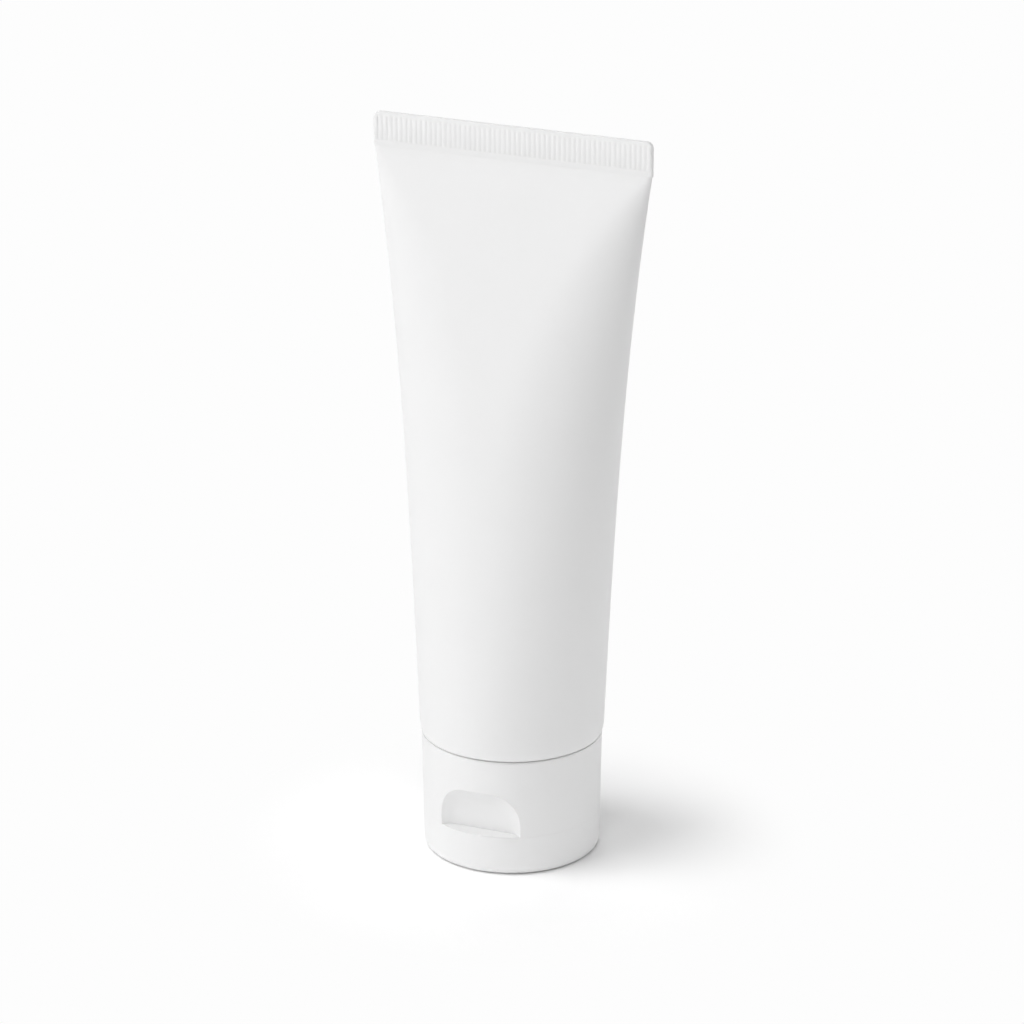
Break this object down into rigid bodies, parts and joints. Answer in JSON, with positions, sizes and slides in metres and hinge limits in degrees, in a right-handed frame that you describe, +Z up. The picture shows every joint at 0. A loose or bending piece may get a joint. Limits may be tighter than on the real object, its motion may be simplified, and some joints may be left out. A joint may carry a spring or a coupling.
{
  "type": "cream tube",
  "caption": "Soft white plastic tube with a flat crimped end, standing on a round flip-top cap with a thumb recess.",
  "frame": {"origin": "middle of the closed lid's flat outer face, where the tube stands", "axes": "+Z up the tube's axis towards the crimped end, +X along the crimped end, -Y towards the thumb recess"},
  "size_m": [0.0628, 0.04, 0.1615],
  "materials": {
    "tube_plastic": "satin",
    "cap_plastic": "satin",
    "cream": "soft"
  },
  "bodies": {
    "tube": {"tube_sleeve": "tube_plastic", "tube_head": "tube_plastic", "cream_fill": "cream", "cap_base": "cap_plastic", "hinge_film": "cap_plastic"},
    "lid": {"cap_lid": "cap_plastic"}
  },
  "joints": [
    {"name": "lid_hinge", "type": "hinge", "parent": "tube", "child": "lid", "pos_m": [0, 0.01856, 0.009], "axis": [1, 0, 0], "range_deg": [0, 125], "deforming": ["hinge_film"]}
  ]
}
